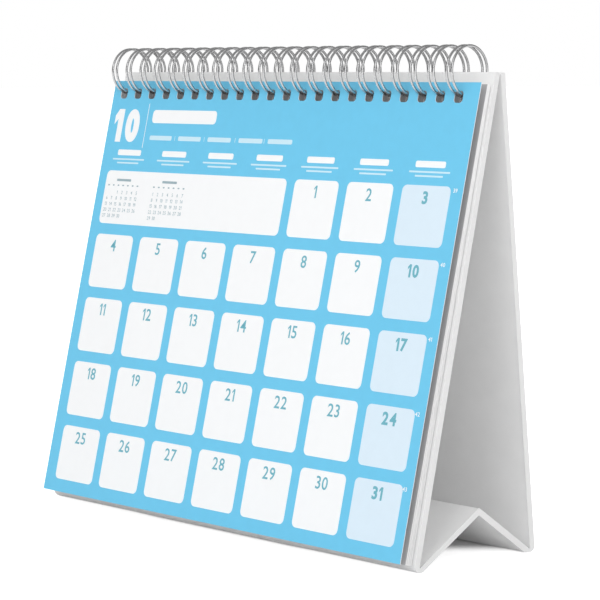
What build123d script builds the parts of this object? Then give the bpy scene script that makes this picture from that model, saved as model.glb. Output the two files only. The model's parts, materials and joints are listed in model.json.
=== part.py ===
from build123d import *
from math import asin, atan, cos, degrees, pi, radians, sin, sqrt, tan
import os

os.makedirs("parts", exist_ok=True)

# Easel desk calendar. Millimetres and degrees: X runs along the width, the front faces -Y, Z is up.

# Easel stand, folded from one strip of board
board_width = 195.5
panel_thickness = 2.1
flap_thickness = 1.8
stand_height = 161.3
front_tilt = 12.85
base_span = 55.6            # front panel's front face to rear panel's inner face, along the table
top_gap = 0.3               # between the two ends, side by side at the top
ridge_height = 16.0         # underside of the ridge above the table
ridge_setback = 2.5         # ridge behind the middle of the base
front_foot_width = 4.5
front_foot_radius = 2.8
rear_foot_width = 4.7
rear_foot_radius = 2.0
rear_flap_radius = 4.0      # where the rear foot turns up into its flap
ridge_radius = 1.2
edge_radius = 0.5

# Punched holes, three to the inch
hole_pitch = 25.4 / 3
hole_row_margin = 6.0       # least sheet beyond the outer holes' middles
hole_size = 4.0
board_hole_height = 5.0     # taller in the board, where the wire goes through aslant
hole_corner = 0.6           # cut off each corner of a hole
hole_row_shift = -1.4       # the row lies a little left of the middle

# Twin-loop binding wire
wire_diameter = 0.9
ring_diameter = 17.7        # outside of the loops
twin_spacing = 2.6          # between the two strands of one loop, at its tip
link_spacing = 2.0          # between them at its links
ring_setout = 2.84          # centre of the rings in front of the front panel's top edge
ring_rise = 0.15            # centre of the rings above that edge
seam_gap = 0.4              # between the tips of the loops and the links, where the wire is closed
link_bend = 0.9
wire_flats = 6              # the wire is faceted, round its section and along its bends
ring_flats = 12
tip_flats = 3

# Leaves
leaf_width = 193.5
leaf_height = 158.2
leaf_margin = 4.9           # middle of the holes to the top edge of a leaf
leaf_hang = 0.8             # middle of the holes below the wire that the leaves hang on
leaf_thickness = 0.4
leaf_gap_top = 2.5          # front leaf off the leaves behind it
leaf_gap_bottom = 2.1
block_top = 1.5             # thickness of the other leaves together
block_bottom = 3.0
block_gap = 0.3             # the leaves off the front panel


def side(y, z):
    """A point of the side view."""
    return Vector(0, y, z)


def up_along(tilt):
    """Direction up a sheet that leans back by this angle."""
    return Vector(0, sin(radians(tilt)), cos(radians(tilt)))


def out_from(tilt):
    """Direction square to that sheet, away from its front."""
    return Vector(0, cos(radians(tilt)), -sin(radians(tilt)))


def meet(start, along, other, other_along):
    """Where two lines of the side view cross."""
    cross = along.Y * other_along.Z - along.Z * other_along.Y
    gap = other - start
    return start + along * ((gap.Y * other_along.Z - gap.Z * other_along.Y) / cross)


def ring_crossing(point, along):
    """Where the wire's circle crosses a sheet, below the centre of the rings."""
    reach = (ring_centre - point).dot(along)
    foot = point + along * reach
    offset = (ring_centre - foot).length
    return foot - along * sqrt(ring_radius**2 - offset**2)


def ring_point(angle, x=0):
    """A point on the wire's circle: 0 is straight down, 90 is at the back."""
    turn = radians(angle)
    return Vector(x, ring_centre.Y + ring_radius * sin(turn), ring_centre.Z - ring_radius * cos(turn))


def ring_tangent(angle):
    """Direction along the wire's circle there, from the front to the back and up."""
    return Vector(0, cos(radians(angle)), sin(radians(angle)))


def ring_angle(point):
    """Angle of a point on the wire's circle, near its bottom."""
    return degrees(asin((point.Y - ring_centre.Y) / ring_radius))


# Side view of the stand, laid out with the front panel's front face at Y = 0 on the table
front_up, front_out = up_along(front_tilt), out_from(front_tilt)
front_foot = side(0, 0)
front_top = side(stand_height * tan(radians(front_tilt)), stand_height)
front_top_back = front_top + front_out * panel_thickness

rear_top = side(front_top_back.Y + top_gap, front_top_back.Z)
rear_tilt = -degrees(atan((base_span - rear_top.Y) / rear_top.Z))
rear_up, rear_out = up_along(rear_tilt), out_from(rear_tilt)
rear_top_back = rear_top + rear_out * panel_thickness
rear_foot = meet(rear_top_back, rear_up, front_foot, Vector(0, 1, 0))

ridge = side(base_span / 2 + ridge_setback, ridge_height)
front_flap_foot = front_foot + side(front_foot_width, 0)
rear_flap_foot = rear_foot - side(rear_foot_width, 0)
front_flap = (ridge - front_flap_foot).normalized()
rear_flap = (rear_flap_foot - ridge).normalized()
front_flap_top = ridge + side(-front_flap.Z, front_flap.Y) * flap_thickness
rear_flap_top = ridge + side(-rear_flap.Z, rear_flap.Y) * flap_thickness
ridge_top = meet(front_flap_top, front_flap, rear_flap_top, rear_flap)
front_crease = meet(front_flap_top, front_flap, front_top_back, front_up)
rear_crease = meet(rear_flap_top, rear_flap, rear_top, rear_up)

# Rings and leaves in the same view
ring_centre = front_top + side(-ring_setout, ring_rise)
ring_radius = (ring_diameter - wire_diameter) / 2
leaf_drop = leaf_height - leaf_margin

block_back = front_foot - front_out * block_gap
block_wire = ring_crossing(block_back - front_out * (block_top / 2), front_up)
block_hole = block_wire - front_up * leaf_hang
block_back_top = block_hole + front_out * (block_top / 2) + front_up * leaf_margin
block_back_foot = block_back_top - front_up * leaf_height
block_front_top = block_back_top - front_out * block_top
block_front_foot = block_back_foot - front_out * block_bottom

leaf_top_mark = block_front_top - front_out * (leaf_gap_top + leaf_thickness / 2)
leaf_foot_mark = block_front_foot - front_out * (leaf_gap_bottom + leaf_thickness / 2)
leaf_up = (leaf_top_mark - leaf_foot_mark).normalized()
leaf_out = side(leaf_up.Z, -leaf_up.Y)
leaf_hole = ring_crossing(leaf_foot_mark, leaf_up) - leaf_up * leaf_hang
leaf_foot = leaf_hole - leaf_up * leaf_drop
leaf_top = leaf_hole + leaf_up * leaf_margin

# As many holes as the narrower sheet takes
hole_count = int((min(board_width, leaf_width) - 2 * hole_row_margin) / hole_pitch) + 1

# The part stands with the middle of its footprint on the origin
front_end = leaf_foot.Y - leaf_out.Y * leaf_thickness / 2
rear_lean = radians(rear_tilt)
rear_end = rear_foot.Y + rear_foot_radius * (1 + tan(rear_lean) - 1 / cos(rear_lean))
middle_y = (front_end + rear_end) / 2
to_middle = Location((0, -middle_y, 0))


def hole_row(middle, outward, height):
    """Outlines of a row of holes through one sheet, square to it."""
    with BuildSketch(Plane(origin=middle, x_dir=(1, 0, 0), z_dir=outward)) as row:
        with Locations((hole_row_shift, 0)):
            with GridLocations(hole_pitch, 0, hole_count, 1):
                Rectangle(hole_size, height)
        chamfer(row.vertices(), hole_corner)
    return row.sketch


def side_view(corners):
    """The corners of a side view, flat."""
    return [(corner.Y, corner.Z) for corner in corners]


def nearest(sketch, corners):
    """The vertices of a side view at some of its corners."""
    return [sketch.vertices().sort_by_distance(corner)[0] for corner in side_view(corners)]


with BuildPart() as easel_stand:
    with BuildSketch(Plane.YZ) as profile:
        outline = (
            front_top, front_foot, front_flap_foot, ridge, rear_flap_foot, rear_foot,
            rear_top_back, rear_top, rear_crease, ridge_top, front_crease, front_top_back,
        )
        with BuildLine():
            Polyline(*side_view(outline), close=True)
        make_face()
        fillet(nearest(profile, [front_foot]), front_foot_radius)
        fillet(nearest(profile, [rear_foot]), rear_foot_radius)
        fillet(nearest(profile, [rear_flap_foot]), rear_flap_radius)
        fillet(nearest(profile, [ridge_top]), ridge_radius)
        fillet(nearest(profile, [front_top, front_top_back, rear_top, rear_top_back]), edge_radius)
    extrude(amount=board_width / 2, both=True)
    punch_depth = panel_thickness + top_gap
    front_hole = (ring_crossing(front_top, front_up) + ring_crossing(front_top_back, front_up)) * 0.5
    rear_hole = (ring_crossing(rear_top, rear_up) + ring_crossing(rear_top_back, rear_up)) * 0.5
    front_row = hole_row(front_hole, front_out, board_hole_height)
    rear_row = hole_row(rear_hole, rear_out, board_hole_height)
    extrude(front_row, amount=punch_depth / 2, both=True, mode=Mode.SUBTRACT)
    extrude(rear_row, amount=punch_depth / 2, both=True, mode=Mode.SUBTRACT)
easel_stand.part.label = "easel_stand"

# The wire is closed inside the tent, midway between the two panels
seam_angle = (ring_angle(ring_crossing(front_top_back, front_up))
              + ring_angle(ring_crossing(rear_top, rear_up))) / 2
per_mm = 180 / (pi * ring_radius)
tip_angle = seam_angle - (seam_gap / 2 + wire_diameter / 2 + twin_spacing / 2) * per_mm
link_angle = seam_angle + (seam_gap / 2 + wire_diameter / 2 + link_bend) * per_mm
loop_turn = 360 + tip_angle - link_angle
across = Vector(1, 0, 0)


def strand(x, way):
    """Points along one strand of a loop, to one side of its middle, from its link over the top to its tip."""
    points = []
    for k in range(ring_flats + 1):
        share = k / ring_flats
        spacing = link_spacing + (twin_spacing - link_spacing) * share
        points.append(ring_point(link_angle + loop_turn * share, x + way * spacing / 2))
    return points


def tip(x):
    """Points round the tip that joins the two strands of a loop."""
    turns = [pi * k / tip_flats for k in range(1, tip_flats)]
    reach = ring_tangent(tip_angle)
    return [ring_point(tip_angle, x) + (reach * sin(turn) - across * cos(turn)) * (twin_spacing / 2)
            for turn in turns]


def link(x):
    """Points along the link between two loops, midway between them."""
    half = (hole_pitch - link_spacing) / 2 - link_bend
    middle = ring_point(link_angle, x) - ring_tangent(link_angle) * link_bend
    return [middle - across * half, middle + across * half]


wire_points = []
for loop in range(hole_count):
    loop_x = hole_row_shift + (loop - (hole_count - 1) / 2) * hole_pitch
    wire_points += strand(loop_x, -1)
    wire_points += tip(loop_x)
    wire_points += reversed(strand(loop_x, 1))
    if loop < hole_count - 1:
        wire_points += link(loop_x + hole_pitch / 2)

with BuildPart() as binding_wire:
    with BuildLine() as run:
        Polyline(*wire_points)
    with BuildSketch(Plane(origin=wire_points[0], z_dir=wire_points[1] - wire_points[0])):
        RegularPolygon(wire_diameter / 2, wire_flats, major_radius=False)
    sweep(path=run.wires()[0], transition=Transition.RIGHT)
binding_wire.part.label = "binding_wire"

with BuildPart() as leaf_block:
    with BuildSketch(Plane.YZ):
        outline = (block_back_top, block_front_top, block_front_foot, block_back_foot)
        with BuildLine():
            Polyline(*side_view(outline), close=True)
        make_face()
    extrude(amount=leaf_width / 2, both=True)
    block_row = hole_row(block_hole, front_out, hole_size)
    extrude(block_row, amount=block_bottom, both=True, mode=Mode.SUBTRACT)
leaf_block.part.label = "leaf_block"

with BuildPart() as front_leaf:
    with BuildSketch(Plane(origin=(leaf_foot + leaf_top) * 0.5, x_dir=(1, 0, 0), z_dir=leaf_out)):
        Rectangle(leaf_width, leaf_height)
    extrude(amount=leaf_thickness / 2, both=True)
    leaf_row = hole_row(leaf_hole, leaf_out, hole_size)
    extrude(leaf_row, amount=leaf_thickness, both=True, mode=Mode.SUBTRACT)
front_leaf.part.label = "front_leaf"

easel_stand.part.locate(to_middle)
binding_wire.part.locate(to_middle)
leaf_block.part.locate(to_middle)
front_leaf.part.locate(to_middle)

export_step(easel_stand.part, "parts/easel_stand.step")
export_step(binding_wire.part, "parts/binding_wire.step")
export_step(leaf_block.part, "parts/leaf_block.step")
export_step(front_leaf.part, "parts/front_leaf.step")
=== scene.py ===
import json
from math import cos, pi, radians, sin, sqrt

import bmesh
import bpy
from mathutils import Matrix, Vector
from mathutils.geometry import tessellate_polygon


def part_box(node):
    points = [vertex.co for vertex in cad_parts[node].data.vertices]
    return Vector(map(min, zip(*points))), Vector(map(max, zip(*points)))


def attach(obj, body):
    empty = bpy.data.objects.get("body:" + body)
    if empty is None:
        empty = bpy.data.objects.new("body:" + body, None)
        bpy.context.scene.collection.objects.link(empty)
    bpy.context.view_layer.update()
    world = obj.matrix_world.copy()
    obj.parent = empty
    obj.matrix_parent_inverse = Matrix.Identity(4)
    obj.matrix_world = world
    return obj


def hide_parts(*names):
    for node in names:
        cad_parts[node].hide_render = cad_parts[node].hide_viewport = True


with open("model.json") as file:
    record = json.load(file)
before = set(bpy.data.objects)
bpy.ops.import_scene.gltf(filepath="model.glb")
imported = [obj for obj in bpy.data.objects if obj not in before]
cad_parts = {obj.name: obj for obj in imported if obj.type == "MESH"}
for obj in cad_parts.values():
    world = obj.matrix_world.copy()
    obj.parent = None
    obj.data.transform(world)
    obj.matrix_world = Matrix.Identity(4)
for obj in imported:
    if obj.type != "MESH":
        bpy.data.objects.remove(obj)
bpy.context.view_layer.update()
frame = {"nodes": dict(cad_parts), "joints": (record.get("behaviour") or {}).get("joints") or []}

# Easel desk calendar. Metres: X runs along the width, the front faces -Y, Z is up.
ACROSS = Vector((1, 0, 0))

# Camera
CAMERA_PLACE = (0.64502, -0.56807, 0.16079)
CAMERA_TURN = 48.0
CAMERA_DIP = 5.343
CAMERA_LENS = 145.51
CAMERA_SENSOR = 36.0

# Light
AMBIENT = 0.74
SHEEN_LOW = 0.1             # what reflections see at the horizon
SHEEN_HIGH = 0.55           # and higher up
SHEEN_RISE = 0.8
LAMP_AIM = (0.0, 0.0, 0.08)
KEY_PLACE = (0.25, -1.5, 1.3)
KEY_SIZE = 1.4
KEY_POWER = 6.5
FILL_PLACE = (1.6, -0.75, 0.5)
FILL_SIZE = 1.0
FILL_POWER = 9.0
FLOOR_SIZE = 40.0
FLOOR_COLOUR = 0.85
FLOOR_GLOW = 0.7
SHADE_SLANT = 0.85          # painted shadow: the floor under the stand is darker away from its ends
SHADE_START = 0.073
SHADE_END = 0.054
SHADE_FOOT = 0.004

# Punched holes and binding wire
HOLE_COUNT = 22
HOLE_PITCH = 0.0254 / 3
HOLE_SIZE = 0.0040
BOARD_HOLE_HEIGHT = 0.0050
HOLE_CORNER = 0.0012
HOLE_ROW_SHIFT = -0.0014
WIRE_DIAMETER = 0.0009
RING_DIAMETER = 0.0177
TWIN_SPACING = 0.0026
LINK_SPACING = 0.0020
TIP_ANGLE = 19.73
LINK_ANGLE = 43.60
LINK_BEND = 0.0009
RING_STEPS = 44
BEND_STEPS = 6

# Leaves
LEAF_COUNT = 12
LEAF_MARGIN = 0.0049
PAPER_THICKNESS = 0.00013
FRONT_THICKNESS = 0.0002
LEAF_SHIFT = 0.00012        # the leaves don't lie quite edge to edge
LEAF_SWAY = 2.4
CORNER_STEPS = 5
BOARD_EDGE = 0.0003
CUT_FACE = 0.7              # least X of the normal of a cut end of the board

# Print on a leaf, from its top left corner
COLUMNS = 7
ROWS = 5
FIRST_COLUMN = 0.00477
FIRST_ROW = 0.0348
COLUMN_PITCH = 0.026785
ROW_PITCH = 0.02455
ROW_SKEW = 0.0003           # each row lies this far to the right of the one above
CELL_WIDTH = 0.0225
CELL_HEIGHT = 0.0204
CELL_CORNER = 0.0020
DATE_HEIGHT = 0.0044
DATE_DROP = 0.0041
INK = 0.00002
OVERPRINT = 1.5 * INK       # height of print that lies on a cell
MONTH_PLACE = (0.0113, 0.0173)
MONTH_SIZE = (0.0153, 0.0127)
RULE = (0.0230, 0.0087, 0.00025, 0.0170)
TITLE_BAR = (0.0262, 0.0111, 0.0372, 0.0050)
NAME_BARS = (0.0266, 0.0435, 0.0605, 0.0779, 0.0938)
NAME_BAR_WIDTH = 0.0130
NAME_BAR_DROP = 0.0209
NAME_BAR_HEIGHT = 0.0017
DAY_BARS = ((0.0266, 0.014, 0.0022), (0.0300, 0.019, 0.0006), (0.0314, 0.013, 0.0006))
WEEK_COLUMN = 0.1900
WEEK_DROP = 0.00125
WEEK_HEIGHT = 0.0014
SMALL_INSET = 0.0023
SMALL_PITCH = 0.0273
SMALL_DROP = 0.0031
SMALL_COLUMN = 0.0029
SMALL_ROW = 0.00226
SMALL_HEIGHT = 0.0013
SMALL_TITLE = (0.0085, 0.0009)
SMALL_DASH = (0.0010, 0.0005)
NUMERAL_GAP = 0.16
NUMERAL_STEPS = 3
MONTH_STEPS = 8
DATE_WEIGHT = 0.02
REST_WEIGHT = 0.07
MONTH_WEIGHT = 0.14
ONE_STROKE = 0.13           # numeral 1, as shares of its height
ONE_WIDTH = 0.30
ONE_FLAG = 0.20
ONE_SLOPE = 0.03
WELD = 1e-4
BAR_ROUNDING = 0.3
FINE_HEIGHT = 0.001
NAME_RULE_GAP = 0.0021

ring_centre = Vector(frame["joints"][0]["pos_m"])
ring_radius = (RING_DIAMETER - WIRE_DIAMETER) / 2
hole_places = [HOLE_ROW_SHIFT + (k - (HOLE_COUNT - 1) / 2) * HOLE_PITCH for k in range(HOLE_COUNT)]


def srgb(red, green, blue):
    """A colour written in 0 to 255, as the shader takes it."""
    def linear(value):
        share = value / 255
        return share / 12.92 if share <= 0.04045 else ((share + 0.055) / 1.055) ** 2.4
    return (linear(red), linear(green), linear(blue), 1.0)


# Materials
def new_material(name):
    """A material with its node tree and its shader."""
    material = bpy.data.materials.new(name)
    material.use_nodes = True
    tree = material.node_tree
    return material, tree, tree.nodes["Principled BSDF"]


def add_noise(tree, scale, detail, stretch=(1, 1, 1)):
    """Noise in the object's own space, with its scale per metre."""
    place = tree.nodes.new("ShaderNodeTexCoord")
    mapping = tree.nodes.new("ShaderNodeMapping")
    mapping.inputs["Scale"].default_value = stretch
    noise = tree.nodes.new("ShaderNodeTexNoise")
    noise.inputs["Scale"].default_value = scale
    noise.inputs["Detail"].default_value = detail
    tree.links.new(place.outputs["Object"], mapping.inputs["Vector"])
    tree.links.new(mapping.outputs["Vector"], noise.inputs["Vector"])
    return noise.outputs["Fac"]


def vary_colour(tree, shader, factor, dark, light):
    """The base colour runs between two colours."""
    ramp = tree.nodes.new("ShaderNodeValToRGB")
    ramp.color_ramp.elements[0].position = 0.3
    ramp.color_ramp.elements[0].color = dark
    ramp.color_ramp.elements[1].position = 0.7
    ramp.color_ramp.elements[1].color = light
    tree.links.new(factor, ramp.inputs["Fac"])
    tree.links.new(ramp.outputs["Color"], shader.inputs["Base Color"])


def vary_roughness(tree, shader, factor, low, high):
    """The roughness runs between two values."""
    spread = tree.nodes.new("ShaderNodeMapRange")
    spread.inputs["To Min"].default_value = low
    spread.inputs["To Max"].default_value = high
    tree.links.new(factor, spread.inputs["Value"])
    tree.links.new(spread.outputs["Result"], shader.inputs["Roughness"])


def add_bump(tree, shader, factor, depth):
    """Relief of this depth in metres."""
    bump = tree.nodes.new("ShaderNodeBump")
    bump.inputs["Strength"].default_value = 0.5
    bump.inputs["Distance"].default_value = depth
    tree.links.new(factor, bump.inputs["Height"])
    tree.links.new(bump.outputs["Normal"], shader.inputs["Normal"])


def shade(colour, share):
    """The same colour, darker."""
    return tuple(value * share for value in colour[:3]) + (1.0,)


def paper(name, colour, mottle=0.97, roughness=0.55):
    """Coated paper: slight clouding, fine fibre and tooth."""
    material, tree, shader = new_material(name)
    vary_colour(tree, shader, add_noise(tree, 260, 3), shade(colour, mottle), colour)
    fibre = add_noise(tree, 2600, 4, (1, 0.45, 1))
    vary_roughness(tree, shader, fibre, roughness - 0.07, roughness + 0.07)
    add_bump(tree, shader, fibre, 0.000012)
    shader.inputs["Specular IOR Level"].default_value = 0.35
    return material


def board(name, colour):
    """Paper-covered board: pressed surface with long fibres and faint clouding."""
    material, tree, shader = new_material(name)
    vary_colour(tree, shader, add_noise(tree, 120, 4), shade(colour, 0.965), colour)
    fibre = add_noise(tree, 1400, 5, (0.35, 1, 1))
    vary_roughness(tree, shader, fibre, 0.5, 0.66)
    add_bump(tree, shader, fibre, 0.00002)
    shader.inputs["Specular IOR Level"].default_value = 0.35
    return material


def steel(name, colour):
    """Drawn steel wire: fine streaks and small stains in the gloss."""
    material, tree, shader = new_material(name)
    streak = add_noise(tree, 2200, 3, (4, 1, 1))
    vary_colour(tree, shader, streak, shade(colour, 0.8), colour)
    vary_roughness(tree, shader, add_noise(tree, 700, 2), 0.2, 0.34)
    add_bump(tree, shader, streak, 0.000006)
    shader.inputs["Metallic"].default_value = 1.0
    return material


white_board = board("white_board", srgb(243, 243, 243))
# cut ends of the board, darker: partly the cut face's own tone, partly painted shade that tones down the
# lamp-lit ends
cut_end_and_painted_shade = board("cut_end_and_painted_shade", srgb(228, 228, 228))
white_paper = paper("white_paper", srgb(246, 246, 246))
blue_print = paper("blue_print", srgb(112, 203, 240), 0.975, 0.5)
# grey print for the next month's dates, and the grey front of the leaf behind the front one: painted shade
# in the gap and the holes
grey_print_and_painted_shade = paper("grey_print_and_painted_shade", srgb(182, 182, 184), 0.96, 0.5)
white_print = paper("white_print", srgb(250, 251, 252), 0.985)
pale_print = paper("pale_print", srgb(221, 238, 250), 0.985)
teal_print = paper("teal_print", srgb(112, 182, 198), 0.95)
soft_print = paper("soft_print", srgb(206, 236, 249), 0.985)
grey_print = paper("grey_print", srgb(158, 180, 188), 0.95)
wire_steel = steel("wire_steel", (0.5, 0.5, 0.505, 1.0))


# Shapes read from the CAD model
def side_outline(node):
    """Corners of a node's side view in order, from its end face at the right."""
    mesh = frame["nodes"][node].data
    end = max(vertex.co.x for vertex in mesh.vertices)
    near = 1e-6
    uses = {}
    for face in mesh.polygons:
        if all(end - mesh.vertices[index].co.x < near for index in face.vertices):
            for pair in face.edge_keys:
                uses[pair] = uses.get(pair, 0) + 1
    rim = [pair for pair, count in uses.items() if count == 1]
    order = list(rim.pop())
    while len(rim) > 1:
        following = next(pair for pair in rim if order[-1] in pair)
        rim.remove(following)
        order.append(following[0] if following[1] == order[-1] else following[1])
    return [Vector((0, mesh.vertices[index].co.y, mesh.vertices[index].co.z)) for index in order]


def sheet_plane(foot, top, left):
    """Place of a sheet's front face: its top left corner, X to the right, Y up the sheet, Z out of it."""
    up = (top - foot).normalized()
    out = ACROSS.cross(up)
    plane = Matrix((ACROSS, up, out)).transposed().to_4x4()
    plane.translation = Vector((left, top.y, top.z))
    return plane


def ring_crossing(point, along):
    """Where the wire's circle crosses a sheet, below the centre of the rings."""
    foot = point + along * (ring_centre - point).dot(along)
    offset = (ring_centre - foot).length
    return foot - along * sqrt(ring_radius**2 - offset**2)


# Flat outlines
def rounded_rectangle(left, top, width, height, corner):
    """Outline of a rectangle with round corners, measured down from the top edge."""
    points = []
    centres = (
        (left + width - corner, -top - corner, 0),
        (left + corner, -top - corner, 90),
        (left + corner, -top - height + corner, 180),
        (left + width - corner, -top - height + corner, 270),
    )
    for x, y, start in centres:
        for step in range(CORNER_STEPS + 1):
            turn = radians(start + 90 * step / CORNER_STEPS)
            points.append((x + corner * cos(turn), y + corner * sin(turn)))
    return points


def hole_row(left, margin, height):
    """Outlines of the punched holes of a sheet whose left edge is at this X."""
    return [
        rounded_rectangle(x - left - HOLE_SIZE / 2, margin - height / 2, HOLE_SIZE, height, HOLE_CORNER)
        for x in hole_places
    ]


def add_plate(bm, outlines, low, high):
    """A closed plate between two heights: the first outline is its rim, the others are holes."""
    loops = []
    for outline in outlines:
        loops.append([[bm.verts.new((x, y, z)) for x, y in outline] for z in (low, high)])
    fill = tessellate_polygon([[Vector((x, y, 0)) for x, y in outline] for outline in outlines])
    for level in (0, 1):
        ring = [vertex for loop in loops for vertex in loop[level]]
        for triangle in fill:
            bm.faces.new([ring[index] for index in triangle])
    for lower, upper in loops:
        count = len(lower)
        for k in range(count):
            following = (k + 1) % count
            bm.faces.new((lower[k], lower[following], upper[following], upper[k]))


def finish_mesh(bm, name, place=None):
    """The shape as an object, with its faces turned outwards."""
    bmesh.ops.recalc_face_normals(bm, faces=bm.faces)
    mesh = bpy.data.meshes.new(name)
    bm.to_mesh(mesh)
    bm.free()
    if place is not None:
        mesh.transform(place)
    piece = bpy.data.objects.new(name, mesh)
    bpy.context.scene.collection.objects.link(piece)
    return piece


def dress(piece, body, slot, *materials):
    """The piece gets its materials and its body; its slot is not used."""
    for material in materials:
        piece.data.materials.append(material)
    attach(piece, body)
    return piece


# Easel stand, folded board with rounded rims and punched top edges
def punch_tool(outline):
    """Prisms that punch both panels square to their faces."""
    edges = list(zip(outline, outline[1:] + outline[:1]))
    walls = sorted(edges, key=lambda edge: (edge[1] - edge[0]).length)[-4:]
    walls.sort(key=lambda edge: (edge[0] + edge[1]).y)
    bm = bmesh.new()
    for first, second in (walls[:2], walls[2:]):
        up = (first[1] - first[0]).normalized()
        up = up if up.z > 0 else -up
        centre = (ring_crossing(first[0], up) + ring_crossing(second[0], up)) / 2
        depth = abs((first[0] - second[0]).dot(ACROSS.cross(up))) / 2 + BOARD_EDGE / 2
        start = len(bm.verts)
        for outline_2d in hole_row(0, 0, BOARD_HOLE_HEIGHT):
            add_plate(bm, [outline_2d], -depth, depth)
        bm.verts.ensure_lookup_table()
        plane = sheet_plane(centre - up, centre, 0)
        bmesh.ops.transform(bm, matrix=plane, verts=bm.verts[start:])
    return finish_mesh(bm, "punch_tool")


def make_stand():
    """The folded board from its CAD side view, with bevelled ends and both hole rows."""
    outline = side_outline("easel_stand")
    low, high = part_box("easel_stand")
    bm = bmesh.new()
    ends = [[bm.verts.new((x, point.y, point.z)) for point in outline] for x in (low.x, high.x)]
    caps = [bm.faces.new(end) for end in ends]
    for k in range(len(outline)):
        following = (k + 1) % len(outline)
        bm.faces.new((ends[0][k], ends[0][following], ends[1][following], ends[1][k]))
    rims = [edge for cap in caps for edge in cap.edges]
    bmesh.ops.bevel(bm, geom=rims, offset=BOARD_EDGE, segments=3, profile=0.5, affect="EDGES")
    stand = finish_mesh(bm, "folded_stand")
    tool = punch_tool(outline)
    punch = stand.modifiers.new("punch", "BOOLEAN")
    punch.object = tool
    punch.solver = "EXACT"
    bpy.context.view_layer.update()
    punched = stand.evaluated_get(bpy.context.evaluated_depsgraph_get())
    stand.data = bpy.data.meshes.new_from_object(punched)
    stand.modifiers.clear()
    bpy.data.objects.remove(tool)
    for face in stand.data.polygons:
        # the cut ends get the darker board: their own tone and painted shade
        face.material_index = 1 if abs(face.normal.x) > CUT_FACE else 0
    dress(stand, "stand", "stand_board", white_board, cut_end_and_painted_shade)
    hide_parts("easel_stand")


# Binding wire, one length bent into twin loops
def ring_point(x, angle):
    """A point on the wire's circle: 0 is straight down, 90 is at the back."""
    turn = radians(angle)
    return Vector((x, ring_centre.y + ring_radius * sin(turn), ring_centre.z - ring_radius * cos(turn)))


def wire_route():
    """Points along the wire, from its free end at the left to the one at the right."""
    degrees_per_metre = 180 / (pi * ring_radius)
    turn = 360 + TIP_ANGLE - LINK_ANGLE
    shares = [k / RING_STEPS for k in range(RING_STEPS + 1)]
    spread = TWIN_SPACING - LINK_SPACING
    strand = [((LINK_SPACING + spread * share) / 2, LINK_ANGLE + turn * share) for share in shares]
    half_turn = [pi * k / (2 * BEND_STEPS) for k in range(1, 2 * BEND_STEPS)]
    tip_reach = TWIN_SPACING / 2 * degrees_per_metre
    tip = [(-TWIN_SPACING / 2 * cos(bend), TIP_ANGLE + tip_reach * sin(bend)) for bend in half_turn]
    quarter = [pi / 2 * k / BEND_STEPS for k in range(1, BEND_STEPS + 1)]
    bend_reach = LINK_BEND * degrees_per_metre
    out_bend = [(LINK_BEND * (1 - cos(bend)), LINK_ANGLE - bend_reach * sin(bend)) for bend in quarter]
    route = []
    for loop, middle in enumerate(hole_places):
        route += [(middle - half, angle) for half, angle in strand]
        route += [(middle + x, angle) for x, angle in tip]
        route += [(middle + half, angle) for half, angle in reversed(strand)]
        if loop < HOLE_COUNT - 1:
            right = middle + LINK_SPACING / 2
            onward = middle + HOLE_PITCH - LINK_SPACING / 2
            route += [(right + x, angle) for x, angle in out_bend]
            route += [(onward - x, angle) for x, angle in reversed(out_bend)]
    return [ring_point(x, angle) for x, angle in route]


def make_wire():
    """The round wire along its route."""
    points = wire_route()
    curve = bpy.data.curves.new("wire_route", "CURVE")
    curve.dimensions = "3D"
    curve.bevel_depth = WIRE_DIAMETER / 2
    curve.bevel_resolution = 3
    curve.use_fill_caps = True
    spline = curve.splines.new("POLY")
    spline.points.add(len(points) - 1)
    for target, point in zip(spline.points, points):
        target.co = (*point, 1)
    source = bpy.data.objects.new("wire_route", curve)
    mesh = bpy.data.meshes.new_from_object(source)
    bpy.data.objects.remove(source)
    mesh.shade_smooth()
    mesh.materials.clear()
    wire = bpy.data.objects.new("twin_loop_wire", mesh)
    bpy.context.scene.collection.objects.link(wire)
    dress(wire, "stand", "wire_steel", wire_steel)
    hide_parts("binding_wire")


# Leaves
def make_leaf(name, plane, width, height, thickness, body, front_material):
    """One punched leaf: its front is printed, its back and its edges are bare paper."""
    left = plane.translation.x
    bm = bmesh.new()
    rim = [(0, 0), (0, -height), (width, -height), (width, 0)]
    add_plate(bm, [rim] + hole_row(left, LEAF_MARGIN, HOLE_SIZE), -thickness, 0)
    leaf = finish_mesh(bm, name)
    for face in leaf.data.polygons:
        face.material_index = 1 if face.normal.z > 0.5 else 0
    leaf.data.transform(plane)
    return dress(leaf, body, "leaf_paper", white_paper, front_material)


def block_planes():
    """Planes of the leaves behind the front one, fanned out within their block, front to back."""
    corners = side_outline("leaf_block")
    by_height = sorted(corners, key=lambda corner: corner.z)
    feet = sorted(by_height[:2], key=lambda corner: corner.y)
    tops = sorted(by_height[2:], key=lambda corner: corner.y)
    low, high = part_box("leaf_block")
    count = LEAF_COUNT - 1
    planes = []
    for k in range(count):
        share = k / count
        foot = feet[0].lerp(feet[1], share)
        top = tops[0].lerp(tops[1], share)
        planes.append(sheet_plane(foot, top, low.x + LEAF_SHIFT * sin(LEAF_SWAY * k)))
    height = (tops[0] - feet[0]).length
    return planes, high.x - low.x, height


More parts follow.
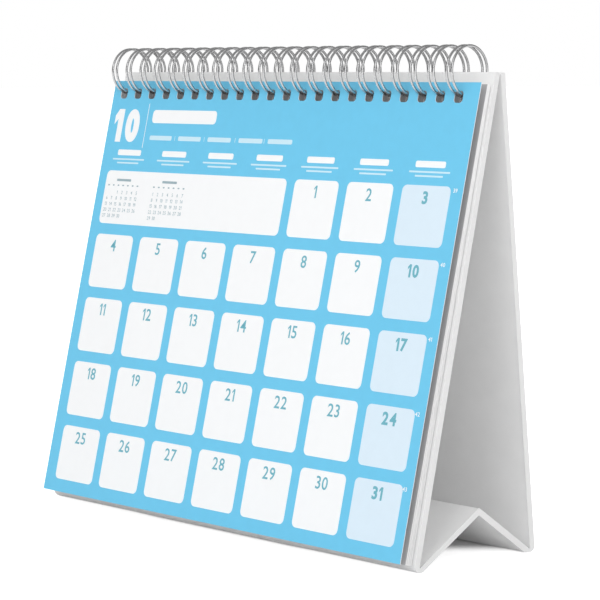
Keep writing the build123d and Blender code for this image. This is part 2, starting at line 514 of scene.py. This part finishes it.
def make_block():
    """The leaves behind the front one, the first of them grey, as painted shade in the gap behind the front
    leaf and in its holes, with the next month on it.
    """
    planes, width, height = block_planes()
    for k, plane in enumerate(planes):
        # the first leaf behind is grey: painted shade for the gap behind the front leaf and for its holes
        front = grey_print_and_painted_shade if k == 0 else white_paper
        leaf = make_leaf(f"leaf_{k + 2:02d}", plane, width, height, PAPER_THICKNESS, "stand", front)
        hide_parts("leaf_block")
    inks = {
        "cells": white_print, "rest_cells": pale_print, "dates": grey_print_and_painted_shade, "rest_dates": grey_print_and_painted_shade,
        "heading": white_print, "fine": white_print, "small": grey_print,
    }
    make_month("next", planes[0], "stand", inks, 11, 0, 30, 31, 44)


def front_leaf_plane():
    """Plane of the front leaf, and its size."""
    corners = side_outline("front_leaf")
    by_height = sorted(corners, key=lambda corner: corner.z)
    foot = min(by_height[:2], key=lambda corner: corner.y)
    top = min(by_height[2:], key=lambda corner: corner.y)
    low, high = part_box("front_leaf")
    return sheet_plane(foot, top, low.x), high.x - low.x, (top - foot).length


# Print on a leaf
def one_outline(weight):
    """Outline of the numeral 1, one unit tall: a stem with a flag."""
    stroke, stem = ONE_STROKE + weight, ONE_WIDTH + weight
    inner = stem - stroke
    return [(stem, -1), (stem, 0), (inner, 0), (0, -ONE_FLAG), (0, -ONE_FLAG - stroke),
            (inner, -stroke - ONE_SLOPE), (inner, -1)]


def numeral_mesh(digit, weight, steps):
    """One plain numeral as a closed plate, about one unit tall."""
    bm = bmesh.new()
    if digit == "1":
        add_plate(bm, [one_outline(weight)], -0.5, 0.5)
    else:
        curve = bpy.data.curves.new("numeral", "FONT")
        curve.body = digit
        curve.offset = weight / 2
        curve.extrude = 0.5
        curve.resolution_u = steps
        source = bpy.data.objects.new("numeral", curve)
        mesh = bpy.data.meshes.new_from_object(source)
        bm.from_mesh(mesh)
        bpy.data.objects.remove(source)
        bpy.data.meshes.remove(mesh)
        bmesh.ops.remove_doubles(bm, verts=bm.verts, dist=WELD)
    mesh = bpy.data.meshes.new("numeral")
    bm.to_mesh(mesh)
    bm.free()
    return mesh


def add_number(bm, number, x, drop, height, level, weight=0.0, width=None, steps=NUMERAL_STEPS):
    """A number of this height, centred at a place on the leaf."""
    row = []
    reach = 0.0
    for digit in str(number):
        mesh = numeral_mesh(digit, weight, steps)
        xs = [vertex.co.x for vertex in mesh.vertices]
        ys = [vertex.co.y for vertex in mesh.vertices]
        scale = height / (max(ys) - min(ys))
        row.append((mesh, Vector((min(xs), (max(ys) + min(ys)) / 2, 0)), scale, reach))
        reach += scale * (max(xs) - min(xs)) + height * NUMERAL_GAP
    reach -= height * NUMERAL_GAP
    stretch = 1.0 if width is None else width / reach
    for mesh, corner, scale, start in row:
        place = Matrix.Translation((x + stretch * (start - reach / 2), -drop, level))
        size = Matrix.Diagonal((stretch * scale, scale, 2 * INK, 1))
        mesh.transform(place @ size @ Matrix.Translation(-corner))
        bm.from_mesh(mesh)
        bpy.data.meshes.remove(mesh)


def add_bar(bm, left, drop, width, height, level=0.0):
    """A plain bar with rounded ends, where the leaf has a line of words."""
    corner = min(width, height) * BAR_ROUNDING
    add_plate(bm, [rounded_rectangle(left, drop, width, height, corner)], level - INK, level + INK)


def cell_corner(column, row):
    """Top left corner of a cell, from the leaf's corner."""
    return FIRST_COLUMN + column * COLUMN_PITCH + row * ROW_SKEW, FIRST_ROW + row * ROW_PITCH


def add_days(cells, rest_cells, dates, rest_dates, first_column, days):
    """A rounded cell with its date for each day: the last column has a colour of its own."""
    for day in range(1, days + 1):
        row, column = divmod(first_column + day - 1, COLUMNS)
        rest = column == COLUMNS - 1
        left, top = cell_corner(column, row)
        outline = rounded_rectangle(left, top, CELL_WIDTH, CELL_HEIGHT, CELL_CORNER)
        add_plate(rest_cells if rest else cells, [outline], -INK, INK)
        place = (left + CELL_WIDTH / 2, top + DATE_DROP, DATE_HEIGHT, OVERPRINT)
        figures, weight = (rest_dates, REST_WEIGHT) if rest else (dates, DATE_WEIGHT)
        add_number(figures, day, *place, weight=weight)


def add_heading(bm, fine, number, first_week):
    """Heading of a leaf: the month's number, bars for its words and the numbers of its weeks."""
    width, height = MONTH_SIZE
    add_number(bm, number, *MONTH_PLACE, height, 0, MONTH_WEIGHT, width, MONTH_STEPS)
    add_bar(bm, *RULE)
    add_bar(bm, *TITLE_BAR)
    for left in NAME_BARS:
        add_bar(fine, left, NAME_BAR_DROP, NAME_BAR_WIDTH, NAME_BAR_HEIGHT)
    for left in NAME_BARS[1:]:
        add_bar(fine, left - NAME_RULE_GAP, NAME_BAR_DROP, RULE[2], NAME_BAR_HEIGHT)
    for column in range(COLUMNS):
        middle = cell_corner(column, 0)[0] + CELL_WIDTH / 2
        for drop, width, height in DAY_BARS:
            add_bar(bm if height > FINE_HEIGHT else fine, middle - width / 2, drop, width, height)
    for row in range(ROWS):
        drop = cell_corner(0, row)[1] + WEEK_DROP
        add_number(bm, first_week + row, WEEK_COLUMN, drop, WEEK_HEIGHT, 0, weight=DATE_WEIGHT)


def add_small_month(bm, left, top, first_column, days):
    """A month in small figures, under a bar for its name and a row for its weekdays."""
    middle = left + (COLUMNS - 1) / 2 * SMALL_COLUMN
    add_bar(bm, middle - SMALL_TITLE[0] / 2, top, *SMALL_TITLE, OVERPRINT)
    for column in range(COLUMNS):
        start = left + column * SMALL_COLUMN - SMALL_DASH[0] / 2
        add_bar(bm, start, top + SMALL_ROW, *SMALL_DASH, OVERPRINT)
    for day in range(1, days + 1):
        row, column = divmod(first_column + day - 1, COLUMNS)
        drop = top + (row + 2) * SMALL_ROW + SMALL_HEIGHT / 2
        add_number(bm, day, left + column * SMALL_COLUMN, drop, SMALL_HEIGHT, OVERPRINT)


def make_month(prefix, plane, body, inks, number, first_column, days, near_days, first_week):
    """The printed month: cells, dates, heading, and a notes panel with the months on either side."""
    shapes = {name: bmesh.new() for name in inks}
    add_days(*(shapes[name] for name in ("cells", "rest_cells", "dates", "rest_dates")), first_column, days)
    add_heading(shapes["heading"], shapes["fine"], number, first_week)
    after = first_column + days
    free_row, free_column = (0, 0) if first_column else divmod(after, COLUMNS)
    free_cells = first_column or COLUMNS - free_column
    left, top = cell_corner(free_column, free_row)
    panel_width = (free_cells - 1) * COLUMN_PITCH + CELL_WIDTH
    panel = rounded_rectangle(left, top, panel_width, CELL_HEIGHT, CELL_CORNER)
    add_plate(shapes["cells"], [panel], -INK, INK)
    starts = ((first_column - near_days) % COLUMNS, after % COLUMNS)
    for k, start in enumerate(starts):
        place = left + SMALL_INSET + k * SMALL_PITCH
        add_small_month(shapes["small"], place, top + SMALL_DROP, start, near_days)
    for name, bm in shapes.items():
        piece = finish_mesh(bm, f"{prefix}_{name}", plane)
        dress(piece, body, "printed_paper", inks[name])


def make_front_leaf():
    """The leaf on show and its month."""
    plane, width, height = front_leaf_plane()
    leaf = make_leaf("front_sheet", plane, width, height, FRONT_THICKNESS, "leaf", blue_print)
    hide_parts("front_leaf")
    inks = {
        "cells": white_print, "rest_cells": pale_print, "dates": teal_print, "rest_dates": teal_print,
        "heading": white_print, "fine": soft_print, "small": grey_print,
    }
    make_month("front", plane, "leaf", inks, 10, 4, 31, 30, 39)


# Stage
def seen_directly(tree):
    """1 for rays that come straight from the camera or from a reflection of it, else 0."""
    path = tree.nodes.new("ShaderNodeLightPath")
    total = path.outputs["Is Camera Ray"]
    for name in ("Is Glossy Ray", "Is Transmission Ray"):
        add = tree.nodes.new("ShaderNodeMath")
        add.operation = "ADD"
        add.use_clamp = True
        tree.links.new(total, add.inputs[0])
        tree.links.new(path.outputs[name], add.inputs[1])
        total = add.outputs["Value"]
    return total


def make_world():
    """Soft light all round, white behind the object, and a darker horizon for reflections."""
    world = bpy.data.worlds.new("studio")
    world.use_nodes = True
    tree = world.node_tree
    tree.nodes.clear()
    soft = tree.nodes.new("ShaderNodeBackground")
    soft.inputs["Color"].default_value = (1, 1, 1, 1)
    soft.inputs["Strength"].default_value = AMBIENT
    white = tree.nodes.new("ShaderNodeBackground")
    white.inputs["Color"].default_value = (1, 1, 1, 1)
    white.inputs["Strength"].default_value = 1.0
    sheen = tree.nodes.new("ShaderNodeBackground")
    sheen.inputs["Color"].default_value = (1, 1, 1, 1)
    place = tree.nodes.new("ShaderNodeTexCoord")
    split = tree.nodes.new("ShaderNodeSeparateXYZ")
    tree.links.new(place.outputs["Generated"], split.inputs["Vector"])
    level = tree.nodes.new("ShaderNodeMapRange")
    level.inputs["To Min"].default_value = SHEEN_LOW
    level.inputs["To Max"].default_value = SHEEN_HIGH
    tree.links.new(fade(tree, split.outputs["Z"], 0.0, SHEEN_RISE), level.inputs["Value"])
    tree.links.new(level.outputs["Result"], sheen.inputs["Strength"])
    path = tree.nodes.new("ShaderNodeLightPath")
    shown = soft
    for name, source in (("Is Glossy Ray", sheen), ("Is Camera Ray", white)):
        choose = tree.nodes.new("ShaderNodeMixShader")
        tree.links.new(path.outputs[name], choose.inputs["Fac"])
        tree.links.new(shown.outputs[0], choose.inputs[1])
        tree.links.new(source.outputs[0], choose.inputs[2])
        shown = choose
    output = tree.nodes.new("ShaderNodeOutputWorld")
    tree.links.new(shown.outputs[0], output.inputs["Surface"])
    bpy.context.scene.world = world


def fade(tree, value, start, end):
    """Runs smoothly from 0 to 1 between two values."""
    span = tree.nodes.new("ShaderNodeMapRange")
    span.interpolation_type = "SMOOTHSTEP"
    span.inputs["From Min"].default_value = start
    span.inputs["From Max"].default_value = end
    tree.links.new(value, span.inputs["Value"])
    return span.outputs["Result"]


def calculate(tree, operation, first, second=None):
    """One step of arithmetic on node values."""
    step = tree.nodes.new("ShaderNodeMath")
    step.operation = operation
    tree.links.new(first, step.inputs[0])
    if second is not None:
        tree.links.new(second, step.inputs[1])
    return step.outputs["Value"]


def under_stand(tree):
    """Mask of the painted shadow on the floor: 1 deep under the stand, 0 towards its ends, where light
    comes in, and outside it.
    """
    low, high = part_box("easel_stand")
    place = tree.nodes.new("ShaderNodeTexCoord")
    split = tree.nodes.new("ShaderNodeSeparateXYZ")
    tree.links.new(place.outputs["Object"], split.inputs["Vector"])
    slant = tree.nodes.new("ShaderNodeMath")
    slant.operation = "MULTIPLY"
    slant.inputs[1].default_value = SHADE_SLANT
    tree.links.new(split.outputs["Y"], slant.inputs[0])
    from_middle = calculate(tree, "ABSOLUTE", split.outputs["X"])
    reach = calculate(tree, "SUBTRACT", from_middle, slant.outputs["Value"])
    along = fade(tree, reach, SHADE_START, SHADE_END)
    front = fade(tree, split.outputs["Y"], low.y, low.y + SHADE_FOOT)
    back = fade(tree, split.outputs["Y"], high.y, high.y - SHADE_FOOT)
    return calculate(tree, "MULTIPLY", along, calculate(tree, "MULTIPLY", front, back))


def make_floor():
    """A pale floor whose glow is left out under the stand: a painted shadow over the floor's own shadow
    there.
    """
    bm = bmesh.new()
    bmesh.ops.create_grid(bm, x_segments=2, y_segments=2, size=FLOOR_SIZE / 2)
    floor = finish_mesh(bm, "floor")
    material = bpy.data.materials.new("pale_floor")
    material.use_nodes = True
    tree = material.node_tree
    tree.nodes.clear()
    matt = tree.nodes.new("ShaderNodeBsdfDiffuse")
    matt.inputs["Color"].default_value = (FLOOR_COLOUR, FLOOR_COLOUR, FLOOR_COLOUR, 1)
    glow = tree.nodes.new("ShaderNodeEmission")
    # the glow is left out under the stand: painted shadow
    level = tree.nodes.new("ShaderNodeMapRange")
    level.inputs["To Min"].default_value = FLOOR_GLOW
    level.inputs["To Max"].default_value = 0.0
    tree.links.new(under_stand(tree), level.inputs["Value"])
    shown = calculate(tree, "MULTIPLY", seen_directly(tree), level.outputs["Result"])
    add = tree.nodes.new("ShaderNodeAddShader")
    output = tree.nodes.new("ShaderNodeOutputMaterial")
    tree.links.new(shown, glow.inputs["Strength"])
    tree.links.new(matt.outputs["BSDF"], add.inputs[0])
    tree.links.new(glow.outputs["Emission"], add.inputs[1])
    tree.links.new(add.outputs["Shader"], output.inputs["Surface"])
    floor.data.materials.append(material)


def make_lamp(name, place, size, power):
    """A round area lamp aimed at the object."""
    lamp = bpy.data.lights.new(name, "AREA")
    lamp.shape = "DISK"
    lamp.size = size
    lamp.energy = power
    holder = bpy.data.objects.new(name, lamp)
    holder.location = place
    holder.rotation_euler = (Vector(LAMP_AIM) - Vector(place)).to_track_quat("-Z", "Y").to_euler()
    bpy.context.scene.collection.objects.link(holder)


def make_camera():
    """The photograph's view."""
    camera = bpy.data.cameras.new("camera")
    camera.sensor_width = CAMERA_SENSOR
    camera.lens = CAMERA_LENS
    holder = bpy.data.objects.new("camera", camera)
    holder.location = CAMERA_PLACE
    holder.rotation_euler = (radians(90 - CAMERA_DIP), 0, radians(CAMERA_TURN))
    bpy.context.scene.collection.objects.link(holder)
    bpy.context.scene.camera = holder


make_camera()
make_world()
make_floor()
make_lamp("key", KEY_PLACE, KEY_SIZE, KEY_POWER)
make_lamp("fill", FILL_PLACE, FILL_SIZE, FILL_POWER)
make_stand()
make_wire()
make_block()
make_front_leaf()
bpy.context.scene.view_settings.view_transform = "Standard"
